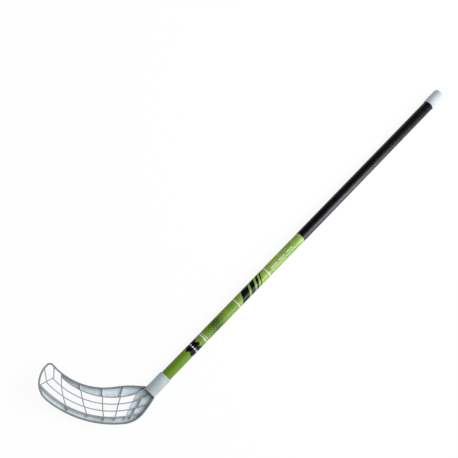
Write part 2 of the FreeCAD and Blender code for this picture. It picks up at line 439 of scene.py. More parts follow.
outline_corners = [blade_point(shares) for shares in edge_corner_shares]
outline_corners += [socket_point(shares) for shares in heel_corner_shares]
outline_rounds = []
for place, corner in enumerate(outline_corners):
    back = (outline_corners[place - 1] - corner).length
    ahead = (outline_corners[(place + 1) % len(outline_corners)] - corner).length
    outline_rounds.append(edge_round_shares[place] * min(back, ahead))
outline = rounded_path(outline_corners, outline_rounds, True, steps=24)
print("outline points:", len(outline))

# %% [markdown]
# ## Blade: bars along paths
# A rim or a rib is one section swept along a path. A node tree does that for all of them: it turns the
# guide's edges into curves, spaces their points evenly, and sweeps a rounded rectangle whose long side
# stands upright. The edges are rounded as a mould leaves them, so each bar catches a thin highlight.

# %% Sweep tree
def sweep_tree():
    """Tree that sweeps a rounded upright section along the guide's edges."""
    tree = new_tree("bar_along_path", ("Width", "Depth", "Round", "Step", "Inset"))
    given = tree.nodes.new("NodeGroupInput").outputs
    path = add(tree, "GeometryNodeMeshToCurve", {"Mesh": given["Guide"]})
    spaced = add(tree, "GeometryNodeResampleCurve",
                 {"Curve": path.outputs["Curve"], "Length": given["Step"]}, mode="LENGTH")
    upright = add(tree, "GeometryNodeSetCurveNormal", {"Curve": spaced.outputs["Curve"]}, mode="Z_UP")
    normal = add(tree, "GeometryNodeInputNormal")
    aside = add(tree, "ShaderNodeVectorMath",
                {0: normal.outputs["Normal"], "Scale": given["Inset"]}, operation="SCALE")
    moved = add(tree, "GeometryNodeSetPosition",
                {"Geometry": upright.outputs["Curve"], "Offset": aside.outputs["Vector"]})
    section = add(tree, "GeometryNodeCurvePrimitiveQuadrilateral",
                  {"Width": given["Width"], "Height": given["Depth"]})
    rounded = add(tree, "GeometryNodeFilletCurve",
                  {"Curve": section.outputs["Curve"], "Radius": given["Round"], "Count": 4}, mode="POLY")
    swept = add(tree, "GeometryNodeCurveToMesh",
                {"Curve": moved.outputs["Geometry"], "Profile Curve": rounded.outputs["Curve"],
                 "Fill Caps": True})
    return coat(tree, swept.outputs["Mesh"], given["Material"])


def guide_mesh(name, paths, height, closed=False):
    """Edges along flat paths at one height above the blade's back."""
    points, edges = [], []
    for path in paths:
        first = len(points)
        points.extend((point.x, point.y, height) for point in path)
        edges.extend((first + step, first + step + 1) for step in range(len(path) - 1))
        if closed:
            edges.append((len(points) - 1, first))
    mesh = bpy.data.meshes.new(name)
    mesh.from_pydata(points, edges, [])
    return mesh


bar_tree = sweep_tree()
print("sweep tree nodes:", len(bar_tree.nodes))

# %% [markdown]
# ## Finishes: shared helpers
# Every finish on the stick is a Principled shader whose colour, shine and grain come from nodes. The
# nodes read Object coordinates, so a pattern keeps its place on the piece from any side. A value that is
# the same all over goes straight on the shader's own socket. Noise rarely reaches 0 or 1, so a ramp
# stretches the middle of its range.

# %% Finish helpers
noise_middle, noise_range = (0.35, 0.65), (0.3, 0.7)


def new_finish(name, base, roughness, specular=0.5, metallic=0.0):
    """Principled material, with its tree, its shader and its Object coordinates."""
    material = bpy.data.materials.new(name)
    material.use_nodes = True
    material.diffuse_color = (*base, 1.0)
    tree = material.node_tree
    shader = tree.nodes["Principled BSDF"]
    shader.inputs["Base Color"].default_value = (*base, 1.0)
    shader.inputs["Roughness"].default_value = roughness
    shader.inputs["Specular IOR Level"].default_value = specular
    shader.inputs["Metallic"].default_value = metallic
    place = add(tree, "ShaderNodeTexCoord").outputs["Object"]
    return material, tree, shader, place


def clouds(tree, place, size, detail=3.0):
    """Soft noise from 0 to 1 whose features are about one size across."""
    noise = add(tree, "ShaderNodeTexNoise", {"Vector": place, "Scale": 1 / size, "Detail": detail})
    return noise.outputs["Fac"]


def mixed(tree, share, base, ink):
    """Colour that goes from a base, given or linked, to an ink while the share goes from 0 to 1."""
    if not isinstance(base, bpy.types.NodeSocket):
        base = (*base, 1.0)
    mix = add(tree, "ShaderNodeMix", {"Factor": share, 6: base, 7: (*ink, 1.0)}, data_type="RGBA")
    return mix.outputs[2]


def grained(tree, shader, height, distance, strength):
    """Bump from a height between 0 and 1."""
    bump = add(tree, "ShaderNodeBump", {"Height": height, "Distance": distance, "Strength": strength})
    tree.links.new(bump.outputs["Normal"], shader.inputs["Normal"])


print("finish helpers ready")

# %% [markdown]
# ## Moulded plastic
# The blade and the cap are moulded. Faint clouds in the colour, a shine that varies by place and the fine
# grain of the mould make them look moulded and not painted. One function adds all three to a finish, so
# both pieces get the same skin on their own colours.

# %% Mould skin
mould_cloud, mould_cloud_levels = 22 * mm, (0.90, 1.04)
mould_shine, mould_less_rough, mould_more_rough = 6 * mm, 0.05, 0.06
mould_grain, mould_grain_depth, mould_grain_strength = 0.7 * mm, 0.04 * mm, 0.15


def moulded(tree, shader, place, base, roughness):
    """Faint clouds over a base colour, varied shine and a fine mould grain."""
    cloud = ramp(tree, clouds(tree, place, mould_cloud), *noise_middle, *mould_cloud_levels)
    tinted = add(tree, "ShaderNodeVectorMath", {0: base, "Scale": cloud}, operation="SCALE")
    tree.links.new(tinted.outputs["Vector"], shader.inputs["Base Color"])
    levels = (roughness - mould_less_rough, roughness + mould_more_rough)
    shine = ramp(tree, clouds(tree, place, mould_shine), *noise_range, *levels)
    tree.links.new(shine, shader.inputs["Roughness"])
    grain = clouds(tree, place, mould_grain, 2.0)
    grained(tree, shader, grain, mould_grain_depth, mould_grain_strength)


print("mould grain:", mould_grain / mm, "mm")

# %% [markdown]
# ## Blade plastic
# Floorball blades are moulded in a tough, milky plastic, here a pale, slightly blue grey. Light and
# shade are painted into its colour: the thin webs are palest, as if lit through, the ribs' walls and the
# socket come next, and the deep rim and the rib tops carry painted shade and are darkest. Scattering
# inside the plastic could show the light through the webs, but slowly and with noise, so each face's tone
# picks one of six colours here. A painted shadow darkens the webs towards the foot of the socket.

# %% Blade material
rim_tone, rim_wall_tone, rib_tone = 0.0, 0.15, 0.3
wall_tone, socket_tone, web_tone = 0.5, 0.7, 1.0
# Painted light and shade: darkest on the rim and the rib tops, where shade falls, paler on the walls,
# palest on the webs as if lit through.
rim_shade_colour, rim_wall_shade_colour = (0.19, 0.21, 0.222), (0.29, 0.325, 0.345)
rib_shade_colour, wall_painted_colour = (0.29, 0.32, 0.335), (0.48, 0.55, 0.59)
socket_colour, web_colour = (0.43, 0.475, 0.50), (0.68, 0.755, 0.785)
middle_steps = ((0.1, rim_wall_shade_colour), (0.2, rib_shade_colour), (0.4, wall_painted_colour), (0.6, socket_colour))
web_step = 0.8
# Painted shadow: the colour and reach of the shade that the socket's end casts on the webs.
foot_shadow_colour, foot_shadow_reach = (0.27, 0.285, 0.265), 7 * mm
blade_base, blade_roughness, blade_specular = (0.5, 0.6, 0.65), 0.34, 0.25


def lattice_plastic():
    """Milky plastic whose colour follows the faces' tones of painted light and shade, with a painted
    shadow by the socket's foot.
    """
    material, tree, shader, place = new_finish(
        "milky_blade_plastic", blade_base, blade_roughness, blade_specular)
    tone = add(tree, "ShaderNodeAttribute", attribute_name="tone").outputs["Fac"]
    tones = add(tree, "ShaderNodeValToRGB", {"Fac": tone})
    scale = tones.color_ramp
    scale.interpolation = "CONSTANT"
    scale.elements[0].color = (*rim_shade_colour, 1.0)
    scale.elements[1].color = (*web_colour, 1.0)
    scale.elements[1].position = web_step
    for step, colour in middle_steps:
        scale.elements.new(step).color = (*colour, 1.0)
    # Painted shadow: the webs darken towards the socket's foot, where its end shades them.
    along = add(tree, "ShaderNodeSeparateXYZ", {"Vector": place}).outputs["X"]
    at_foot = ramp(tree, along, socket_start - foot_shadow_reach, socket_start, 0.0, 1.0)
    foot_shadow = calc(tree, "MULTIPLY", at_foot, calc(tree, "GREATER_THAN", tone, socket_tone))
    colour = mixed(tree, foot_shadow, tones.outputs["Color"], foot_shadow_colour)
    moulded(tree, shader, place, colour, blade_roughness)
    return material


blade_plastic = lattice_plastic()
print("finish:", blade_plastic.name)

# %% [markdown]
# ## Blade: where the ribs run
# Long ribs are arcs about one centre above the blade, cross ribs bow a little to the toe, and short
# ribs brace the toe and the heel. Arcs and bows with a few numbers stay smooth and are easy to move,
# while a lattice drawn point by point is neither.

# %% Lay out the ribs
rib_centre = blade_point((-0.421, 1.825))
long_rib_shares = (0.277, 0.463, 0.651, 0.821)
long_rib_turns = ((235.8, 297.0), (232.5, 295.5), (231.5, 305.0), (230.0, 297.0))
cross_rib_shares = (
    ((-0.816, 0.200), (-0.703, -0.770)), ((-0.637, -0.005), (-0.514, -0.873)),
    ((-0.426, -0.040), (-0.368, -0.905)), ((-0.237, 0.095), (-0.273, -0.860)),
    ((-0.108, -0.050), (-0.181, -0.801)),
)
cross_rib_bows = (0.065, 0.04, 0.025, 0.02, 0.016)
toe_rib_shares = (
    ((-0.985, -0.210), (-0.876, 0.045)), ((-0.878, 0.037), (-0.893, 0.360)),
    ((-0.930, -0.115), (-0.975, 0.270)),
)
heel_rib_shares = (
    ((-0.110, -0.055), (-0.035, 0.140)), ((-0.1005, -0.246), (0.015, -0.010)),
    ((-0.0595, -0.157), (-0.0895, -0.441)), ((-0.105, -0.461), (-0.1215, -0.652)),
    ((-0.1315, -0.662), (-0.140, -0.768)),
)


def arc_path(centre, radius, first, last, steps=48):
    """Points along an arc, with its angles in degrees."""
    points = []
    for step in range(steps + 1):
        turn = math.radians(first + (last - first) * step / steps)
        points.append(centre + Vector((math.cos(turn), math.sin(turn))) * radius)
    return points


def bowed_path(start, end, bow, steps=24):
    """Points along a shallow bow whose middle is a share of its length to the right."""
    run = end - start
    aside = Vector((run.y, -run.x)) * bow
    path = []
    for step in range(steps + 1):
        along = step / steps
        path.append(start + run * along + aside * (4 * along * (1 - along)))
    return path


rib_radii = [rib_centre.y + share * drop for share in long_rib_shares]
long_paths = []
for radius, turns in zip(rib_radii, long_rib_turns):
    long_paths.append(arc_path(rib_centre, radius, *turns))
cross_paths = []
for (start, end), bow in zip(cross_rib_shares, cross_rib_bows):
    cross_paths.append(bowed_path(blade_point(start), blade_point(end), bow))
short_paths = []
for start, end in toe_rib_shares + heel_rib_shares:
    short_paths.append([blade_point(start), blade_point(end)])
print("ribs:", len(long_paths), "long,", len(cross_paths), "cross,", len(short_paths), "short")

# %% [markdown]
# ## Blade: sweep the rim and the ribs
# The rim is deep and stands just inside the outline. The ribs are lower and start above the blade's
# back. Cross ribs and short ribs sit a hair lower than the long ones, because tops in exactly one plane
# would confuse the union that joins them.

# %% Grow the rim and the ribs
rim_width, rim_depth, rim_round, rim_step = 3.0 * mm, 12.0 * mm, 1.0 * mm, 1.2 * mm
rib_width, rib_depth, rib_round, rib_step = 1.8 * mm, 7.0 * mm, 0.55 * mm, 1.4 * mm
low_rib_width, back_recess, cross_sink = 2.6 * mm, 2.0 * mm, 0.12 * mm
rim_sizes = {"Width": rim_width, "Depth": rim_depth, "Round": rim_round, "Step": rim_step,
             "Inset": rim_width / 2, "Material": blade_plastic}
rib_sizes = {"Width": rib_width, "Depth": rib_depth, "Round": rib_round, "Step": rib_step,
             "Inset": 0.0, "Material": blade_plastic}
low_rib_sizes = dict(rib_sizes, Width=low_rib_width)
rib_height = back_recess + rib_depth / 2


def rib(name, paths, sink=0.0, sizes=rib_sizes):
    """Ribs along some paths, with their tops a little below the long ribs'."""
    return grow(guide_mesh(name, paths, rib_height - sink), bar_tree, sizes)


rim = grow(guide_mesh("rim", [outline], rim_depth / 2, closed=True), bar_tree, rim_sizes)
long_ribs = rib("long_ribs", long_paths[:-1])
low_rib = rib("low_rib", long_paths[-1:], sizes=low_rib_sizes)
cross_ribs = rib("cross_ribs", cross_paths[:-1], cross_sink)
heel_rib = rib("heel_rib", cross_paths[-1:], cross_sink)
short_ribs = []
for place, path in enumerate(short_paths):
    short_ribs.append(rib("short_rib", [path], cross_sink * (2 + place % 3)))
print("rim faces:", len(rim.polygons), "long rib faces:", len(long_ribs.polygons))

# %% [markdown]
# ## Blade: the floor between the ribs
# The blade is closed along both long edges and at the heel, and open in the middle. The closed part is
# a thin sheet. It could be one flat face, but a fine grid can bend later when the toe is hooked, so a
# grid is cut with two blocks: the outline trims it, and a window opens its middle.

# %% Helpers for the floor sheet
def prism(name, path, low, high):
    """Closed upright block over a flat closed path."""
    count = len(path)
    points = [(point.x, point.y, low) for point in path]
    points += [(point.x, point.y, high) for point in path]
    faces = [list(range(count)), list(range(count, 2 * count))]
    for place in range(count):
        after = (place + 1) % count
        faces.append([place, after, count + after, count + place])
    mesh = bpy.data.meshes.new(name)
    mesh.from_pydata(points, [], faces)
    return finished(mesh)


def sheet(name, path, low, high, step):
    """Grid of small squares with a thickness, over the box of a path."""
    xs, ys = [point.x for point in path], [point.y for point in path]
    size = Vector((max(xs) - min(xs), max(ys) - min(ys))) + Vector((step, step))
    middle = Vector((max(xs) + min(xs), max(ys) + min(ys))) / 2
    columns, rows = round(size.x / step), round(size.y / step)
    work = bmesh.new()
    bmesh.ops.create_grid(work, x_segments=columns, y_segments=rows, size=0.5)
    bmesh.ops.scale(work, vec=(size.x, size.y, 1), verts=work.verts)
    bmesh.ops.translate(work, vec=(middle.x, middle.y, low), verts=work.verts)
    lifted = bmesh.ops.extrude_face_region(work, geom=work.faces[:])["geom"]
    upper = [item for item in lifted if isinstance(item, bmesh.types.BMVert)]
    bmesh.ops.translate(work, vec=(0, 0, high - low), verts=upper)
    mesh = bpy.data.meshes.new(name)
    work.to_mesh(mesh)
    work.free()
    return finished(mesh)


def crossing(start, end, radius):
    """Where the line through two points is at a radius from the ribs' centre, on the lower side."""
    run = (end - start).normalized()
    foot = start + run * (rib_centre - start).dot(run)
    reach_along = math.sqrt(radius ** 2 - (foot - rib_centre).length_squared)
    return foot + run * reach_along


def turn_of(point):
    """Angle of a point about the ribs' centre, in degrees."""
    spoke = point - rib_centre
    return math.degrees(math.atan2(spoke.y, spoke.x)) % 360


def inset(path, by):
    """Closed path moved to its right, which is inwards where it runs clockwise."""
    moved = []
    for place, point in enumerate(path):
        run = (path[(place + 1) % len(path)] - path[place - 1]).normalized()
        moved.append(point + Vector((run.y, -run.x)) * by)
    return moved


print("floor helpers ready")

# %% [markdown]
# The window lies between the first and the last long rib and ends at the heel's cross rib. Towards the
# toe it runs past the outline. Both blocks are taller than the sheet, so that each cut goes through.

# %% Cut the floor sheet
web_thickness, web_lift, web_grid = 2.0 * mm, 0.2 * mm, 2.0 * mm
block_over, window_over, rim_overlap_share = 1 * mm, 2 * mm, 0.4
far_turn, top_turn, window_top = 205.0, long_rib_turns[0][0], 2 * drop
heel_top, heel_foot = cross_paths[-1][0], cross_paths[-1][-1]
heel_high = crossing(heel_top, heel_foot, rib_radii[0])
heel_low = crossing(heel_top, heel_foot, rib_radii[-1])
window = arc_path(rib_centre, rib_radii[-1], turn_of(heel_low), far_turn)
top_end = arc_path(rib_centre, rib_radii[0], top_turn, turn_of(heel_high))
window += [Vector((window[-1].x, window_top)), Vector((top_end[0].x, window_top))] + top_end
inside_rim = inset(outline, rim_width * rim_overlap_share)
outline_block = prism("outline_block", inside_rim, -block_over, rim_depth + block_over)
window_block = prism("window_block", window, -window_over, rim_depth + window_over)
sheet_low, sheet_high = back_recess + web_lift, back_recess + web_thickness
floor_sheet = sheet("floor_sheet", outline, sheet_low, sheet_high, web_grid)
floor_sheet = combine(floor_sheet, outline_block.copy(), "INTERSECT")
floor_sheet = combine(floor_sheet, window_block, "DIFFERENCE")
print("floor sheet faces:", len(floor_sheet.polygons))

# %% [markdown]
# ## Blade: one skin
# The pieces so far are closed solids, and a union makes one skin of them, as the mould does. Each piece
# gets its tone of painted light and shade first. Two ribs at the heel carry a painted highlight and are
# paler than the others, and in the closed band along the top edge the cross ribs are painted as pale as
# the web, so that less shade shows along them.

# %% Join the lattice
# Painted highlight: these two heel ribs take the paler wall tone.
painted_highlight_ribs = [heel_rib, short_ribs[len(toe_rib_shares)]]
for bar in [long_ribs, cross_ribs, low_rib, heel_rib] + short_ribs:
    toned(bar, wall_tone if bar in painted_highlight_ribs else rib_tone)
# Painted light: cross ribs in the top band take the web's pale tone, so less shade shows along them.
cross_marks = cross_ribs.attributes["tone"].data
for face in cross_ribs.polygons:
    if (face.center.xy - rib_centre).length < rib_radii[0] - rib_width:
        cross_marks[face.index].value = web_tone
lattice = combine(long_ribs, cross_ribs, "UNION")
for bar in [heel_rib, low_rib] + short_ribs:
    lattice = combine(lattice, bar, "UNION")
lattice = combine(lattice, outline_block, "INTERSECT")
toned(rim, rim_tone)
toned(floor_sheet, web_tone)
moulding = combine(combine(rim, floor_sheet, "UNION"), lattice, "UNION")
print("flat moulding faces:", len(moulding.polygons))

# %% [markdown]
# ## Blade: the socket
# The socket is the round end that takes the shaft. It is turned on the shaft's axis, joined to the flat
# moulding, and bored afterwards, so the bore also clears whatever of the heel reaches into it. The mouth
# is flared a little, which lets the shaft in.

# %% Add the socket
shaft_play, socket_end_wall = 0.1 * mm, 4 * mm
socket_foot_round, socket_mouth_round = 0.5 * mm, 0.9 * mm
flare_start, flare_end, flare = socket_mouth - 0.5 * mm, socket_mouth + 1.5 * mm, 1.2 * mm
socket_bore, bore_end = film_radius + shaft_play, socket_start + socket_end_wall
socket_body = turned("socket_body", edge_profile(
    (socket_start, 0.0, 0), (socket_start, socket_radius, socket_foot_round),
    (socket_mouth, socket_radius, socket_mouth_round), (socket_mouth, 0.0, 0)))
bore_tool = turned("bore_tool", edge_profile(
    (bore_end, 0.0, 0), (bore_end, socket_bore, 0), (flare_start, socket_bore, 0),
    (flare_end, socket_bore + flare, 0), (flare_end, 0.0, 0)))
socket_place = Matrix.Translation((socket_start, shaft_y, 0)) @ Matrix.Rotation(-lie, 4, "Z")
moulding.transform(socket_place)
moulding = combine(moulding, toned(socket_body, socket_tone), "UNION")
moulding = combine(moulding, bore_tool, "DIFFERENCE")
print("moulding with socket:", len(moulding.polygons))

# %% [markdown]
# ## Blade: the screw's hole
# One screw holds the blade to the shaft, from the back of the socket. Its hole and the shallow seat of
# its head are turned about the screw's own axis: the lathe works on the shaft's axis, and a matrix then
# carries the result over.

# %% Drill it for the screw
screw_radius, screw_head_radius, screw_seat = 1.5 * mm, 3.0 * mm, 0.5 * mm
screw_play, cut_over = 0.15 * mm, 5 * mm
screw_angle, screw_share = math.radians(125), 0.55
screw_start = Vector((socket_start + screw_share * socket_length, shaft_y, shaft_z))
screw_turn = Matrix.Translation(screw_start) @ Matrix.Rotation(screw_angle, 4, "X")
from_shaft = Matrix.Rotation(math.radians(-90), 4, "Y") @ Matrix.Translation((0, -shaft_y, -shaft_z))


def on_screw_axis(name, profile, sides=32):
    """Mesh turned about the screw's axis, which points out of the socket; x is the distance out."""
    mesh = turned(name, profile, sides=sides)
    mesh.transform(screw_turn @ from_shaft)
    return mesh


def drill(name, radius, low, high):
    """Round cutter on the screw's axis."""
    return on_screw_axis(name, [(low, 0.0), (low, radius), (high, radius), (high, 0.0)])


seat_place = socket_radius - screw_seat
seat_tool = drill("seat_tool", screw_head_radius + screw_play, seat_place, seat_place + cut_over)
hole_tool = drill("hole_tool", screw_radius + screw_play, 0.0, socket_radius + cut_over)
moulding = combine(moulding, seat_tool, "DIFFERENCE")
moulding = combine(moulding, hole_tool, "DIFFERENCE")
print("drilled moulding:", len(moulding.polygons))

# %% [markdown]
# ## Blade: hook the toe
# A floorball blade hooks up at the toe to hold the ball. The back leaves the floor on one arc that
# starts halfway out, and every point keeps its height above it. A bend modifier could do that too, but
# it would pull the toe in and shorten the outline, so only heights change here. Before the bend, while
# the bars still stand upright, their walls get a tone of their own: painted light and shade that makes
# them paler than the bars' tops.

# %% Hook the toe
hook_depth, hook_start_share, upright_slope, blade_sharp_degrees = 24 * mm, 0.5, 0.5, 40


def paint_wall_shade(mesh):
    """Paint the upright walls of the bars with their own tone of painted light and shade, between the
    bars' tops and the webs.
    """
    marks = mesh.attributes["tone"].data
    wall_tones = {rim_tone: rim_wall_tone, rib_tone: wall_tone}
    for face in mesh.polygons:
        tone = round(marks[face.index].value, 2)
        if tone in wall_tones and abs(face.normal.z) < upright_slope:
            marks[face.index].value = wall_tones[tone]


def hook(mesh):
    """Bend the toe up; heights are kept above a back that follows one arc."""
    heel_side = np.array((math.cos(lie), -math.sin(lie)))
    points = np.empty(len(mesh.vertices) * 3)
    mesh.vertices.foreach_get("co", points)
    points = points.reshape(-1, 3)
    along = (points[:, :2] - (socket_start, shaft_y)) @ heel_side
    past = np.maximum(-hook_start_share * reach - along, 0.0)
    run = reach * (1 - hook_start_share)
    radius = (run ** 2 + hook_depth ** 2) / (2 * hook_depth)
    height = points[:, 2]
    bent = radius - np.sqrt((radius - height) ** 2 - past ** 2)
    points[:, 2] = np.where(past > 0, bent, height)
    mesh.vertices.foreach_set("co", points.ravel())
    mesh.update()


# Painted light and shade on the bars' walls, by which way they face.
paint_wall_shade(moulding)
hook(moulding)
finished(moulding, blade_sharp_degrees)
print("blade top:", round(max(vertex.co.z for vertex in moulding.vertices) / mm, 1), "mm")

# %% [markdown]
# ## From mesh to piece
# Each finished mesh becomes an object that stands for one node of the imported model.

# %% Show the blade
def show(name, mesh, material, node):
    """Show a mesh as a piece of the stick that stands for its CAD node."""
    if material.name not in mesh.materials:
        mesh.materials.clear()
        mesh.materials.append(material)
    piece = bpy.data.objects.new(name, mesh)
    scene.collection.objects.link(piece)
    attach(piece, "root")
    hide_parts(node)
    return piece


show("lattice_blade", moulding, blade_plastic, "blade")
print("blade faces:", len(moulding.polygons))

# %% [markdown]
# ## Shaft film: the sleeve
# A printed film is shrunk on the lower half of the composite tube. It is a thin sleeve with square ends,
# turned like the other round pieces. It starts inside the socket, so it has a hole where the blade's
# screw passes.

# %% Turn the film sleeve
film_wall, film_hole_play = 0.3 * mm, 0.03 * mm


def sleeve(name, low, high, inner, outer, edge=0.0):
    """Turned sleeve whose outer edges are rounded."""
    corners = [Vector(corner) for corner in ((low, inner), (low, outer), (high, outer), (high, inner))]
    path = rounded_path(corners, [0, edge, edge, 0], True, 5)
    return turned(name, [(point.x, point.y) for point in path], closed=True)


film_mesh = sleeve("film", film_low.x, film_high.x, film_radius - film_wall, film_radius)
film_tool = drill("film_tool", screw_radius + film_hole_play, 0.0, socket_radius)
film_mesh = finished(combine(film_mesh, film_tool, "DIFFERENCE"))
print("film length:", round((film_high.x - film_low.x) / mm, 1), "mm")

# %% [markdown]
# ## Shaft film: the print
# The print is a made-up sporty pattern in lime, deep green, black and white. An image could carry it,
# but the material draws it, so it is sharp at any distance: one coordinate runs along the shaft from the
# socket's mouth and one around it, both in millimetres, and each motif is a comparison of the two. The
# seam is under the shaft, where a real film has it.

# %% Helpers for a print
def within(tree, value, span):
    """1 where a value lies in a span, else 0."""
    after_start = calc(tree, "GREATER_THAN", value, span[0])
    return calc(tree, "MULTIPLY", after_start, calc(tree, "LESS_THAN", value, span[1]))


def repeated(tree, value, pitch):
    """Share of the way through each pitch, from 0 to 1."""
    return calc(tree, "FRACT", calc(tree, "DIVIDE", value, pitch))


def distance(tree, value, mark):
    """How far a value is from a mark, on either side."""
    return calc(tree, "ABSOLUTE", calc(tree, "SUBTRACT", value, mark))


def shaft_coordinates(tree, place):
    """Millimetres along the shaft from the socket's mouth, and around it from its top."""
    axes = add(tree, "ShaderNodeSeparateXYZ", {"Vector": place}).outputs
    along = calc(tree, "DIVIDE", calc(tree, "SUBTRACT", axes["X"], socket_mouth), mm)
    aside = calc(tree, "SUBTRACT", axes["Y"], shaft_y)
    above = calc(tree, "SUBTRACT", axes["Z"], shaft_z)
    around = calc(tree, "MULTIPLY", calc(tree, "ARCTAN2", aside, above), film_radius / mm)
    return along, around


print("film girth:", round(2 * math.pi * film_radius / mm, 1), "mm")

# %% [markdown]
# Five motifs make the print: dots that shrink away from the middle of their stretch, a black band with
# saw edges and a row of lozenges, leaning black bars that get thinner, pale rings, and one row of pale
# dashes. Each is a mask, 1 where its ink goes, so the inks can be laid one over the other afterwards.
# Rows, spans and pitches are in millimetres.

# %% Motifs of the print
dot_pitch, dot_middle, dot_reach, dot_size = 4.2, 128.0, (4.0, 38.0), 0.52
saw_span, saw_pitch = (60.0, 84.0), 10.5
lozenge_row, lozenge_offset, lozenge_half = 69.3, 2.6, 2.3
bar_lean, bar_spans = 0.55, ((196.0, 214.0), (219.0, 229.0), (234.0, 239.0), (244.0, 246.5))
ring_spans = ((93.0, 95.4), (98.0, 99.0), (181.0, 183.0), (262.0, 264.4))
dash_pitch, dash_share, dash_row, dash_span = 21.0, 0.75, (-1.0, 1.0), (272.0, 332.0)


def shrinking_dots(tree, along, around):
    """Mask of dots on slanted rows, largest in the middle of their stretch."""
    row = calc(tree, "SUBTRACT", repeated(tree, calc(tree, "ADD", along, around), dot_pitch), 0.5)
    slant = repeated(tree, calc(tree, "SUBTRACT", along, around), dot_pitch)
    column = calc(tree, "SUBTRACT", slant, 0.5)
    squares = calc(tree, "MULTIPLY", row, row), calc(tree, "MULTIPLY", column, column)
    size = ramp(tree, distance(tree, along, dot_middle), *dot_reach, dot_size, 0.0)
    return calc(tree, "LESS_THAN", calc(tree, "SQRT", calc(tree, "ADD", *squares)), size)


def saw_band(tree, along, around):
    """Masks of a band with saw edges and of the lozenges on it."""
    teeth = calc(tree, "PINGPONG", around, saw_pitch / 2)
    band = within(tree, calc(tree, "ADD", along, teeth), saw_span)
    from_row = distance(tree, along, lozenge_row)
    from_tooth = distance(tree, teeth, lozenge_offset)
    return band, calc(tree, "LESS_THAN", calc(tree, "ADD", from_row, from_tooth), lozenge_half)


def pale_dashes(tree, along, around):
    """Mask of one row of dashes on the top of the shaft."""
    dash = calc(tree, "LESS_THAN", repeated(tree, along, dash_pitch), dash_share)
    row = calc(tree, "MULTIPLY", dash, within(tree, around, dash_row))
    return calc(tree, "MULTIPLY", row, within(tree, along, dash_span))


print("motifs:", len(bar_spans), "bars,", len(ring_spans), "rings")

# %% [markdown]
# The inks go on from the ground up. The lime ground gets paler towards the grip and has soft patches of
# a deeper green, so the film does not look like flat paint. A printed film is glossy but not perfectly
# smooth: its shine varies by place, and a slow bump bends the highlight a little.

# %% Print material
lime, pale_lime, lime_fade = (0.112, 0.228, 0.008), (0.30, 0.44, 0.085), (20.0, 360.0)
mid_green, deep_green = (0.11, 0.23, 0.012), (0.028, 0.08, 0.006)
ink_black, pale_grey = (0.002, 0.002, 0.002), (0.55, 0.58, 0.55)
film_shine, film_specular = (0.30, 0.38), 0.2
patch_size, patch_edges, patch_levels = 30 * mm, (0.42, 0.62), (0.0, 0.6)
film_shine_size, film_wave, film_wave_depth = 9 * mm, 12 * mm, 0.05 * mm


def printed_film():
    """Glossy film with its inks laid over a lime ground."""
    material, tree, shader, place = new_finish("printed_film", lime, film_shine[1], film_specular)
    along, around = shaft_coordinates(tree, place)
    patches = ramp(tree, clouds(tree, place, patch_size, 2.0), *patch_edges, *patch_levels)
    band, lozenges = saw_band(tree, along, around)
    bars = calc(tree, "SUBTRACT", along, calc(tree, "MULTIPLY", around, bar_lean))
    layers = [(patches, mid_green), (shrinking_dots(tree, along, around), deep_green)]
    layers += [(band, ink_black), (lozenges, pale_grey)]
    layers += [(within(tree, bars, span), ink_black) for span in bar_spans]
    layers += [(within(tree, along, span), pale_grey) for span in ring_spans]
    layers.append((pale_dashes(tree, along, around), pale_grey))
    colour = mixed(tree, ramp(tree, along, *lime_fade, 0.0, 1.0), lime, pale_lime)
    for mask, ink in layers:
        colour = mixed(tree, mask, colour, ink)
    tree.links.new(colour, shader.inputs["Base Color"])
    shine = ramp(tree, clouds(tree, place, film_shine_size), *noise_range, *film_shine)
    tree.links.new(shine, shader.inputs["Roughness"])
    grained(tree, shader, clouds(tree, place, film_wave, 1.0), film_wave_depth, 0.1)
    return material


film = show("printed_film", film_mesh, printed_film(), "shaft_film")
print("film faces:", len(film_mesh.polygons))

# %% [markdown]
# ## Grip
# The upper half of the shaft is covered by a smooth black rubber grip. It is a sleeve with softened
# edges. Rubber is dark, but its fine pebbled skin spreads a long grey highlight, so the shine comes
# from roughness and a small bump and not from a paler colour.

# %% Turn the grip
grip_wall, grip_edge = 0.5 * mm, 0.25 * mm
rubber_base = (0.007, 0.007, 0.009)
rubber_dark, rubber_pale = (0.001, 0.001, 0.0015), (0.003, 0.003, 0.004)
rubber_shine, rubber_specular = (0.35, 0.43), 0.25
rubber_patch, rubber_shine_size, pebble_size, pebble_depth = 12 * mm, 4 * mm, 1.1 * mm, 0.05 * mm


def pebbled_rubber():
    """Black rubber with a fine pebbled skin."""
    material, tree, shader, place = new_finish(
        "pebbled_rubber", rubber_base, rubber_shine[0], rubber_specular)
    patch = ramp(tree, clouds(tree, place, rubber_patch), *noise_middle, 0.0, 1.0)
    tree.links.new(mixed(tree, patch, rubber_dark, rubber_pale), shader.inputs["Base Color"])
    shine = ramp(tree, clouds(tree, place, rubber_shine_size), *noise_range, *rubber_shine)
    tree.links.new(shine, shader.inputs["Roughness"])
    pebble = add(tree, "ShaderNodeTexVoronoi", {"Vector": place, "Scale": 1 / pebble_size})
    raised = calc(tree, "SUBTRACT", 1.0, pebble.outputs["Distance"])
    grained(tree, shader, raised, pebble_depth, 0.3)
    return material


grip_mesh = sleeve("grip", grip_low.x, grip_high.x, grip_radius - grip_wall, grip_radius, grip_edge)
grip = show("rubber_grip", grip_mesh, pebbled_rubber(), "grip")
print("grip length:", round((grip_high.x - grip_low.x) / mm, 1), "mm")

# %% [markdown]
# ## The tall box lights two sleeves
# The tall box is there for the film and the grip. Light linking lists the pieces that a lamp may light,
# as screens do in a studio. Without it the lamp would also be sampled all over the lattice, which would
# make the blade grainy.

# %% Link the tall box
glossy_sleeves = bpy.data.collections.new("glossy_sleeves")
for piece in (film, grip):
    glossy_sleeves.objects.link(piece)
gloss_box.light_linking.receiver_collection = glossy_sleeves

# %% [markdown]
# ## End cap
# A moulded cap closes the tube. It is a little wider than the grip, widens from its mouth and has a
# well-rounded end, so it is turned from one profile with a bore for the tube.

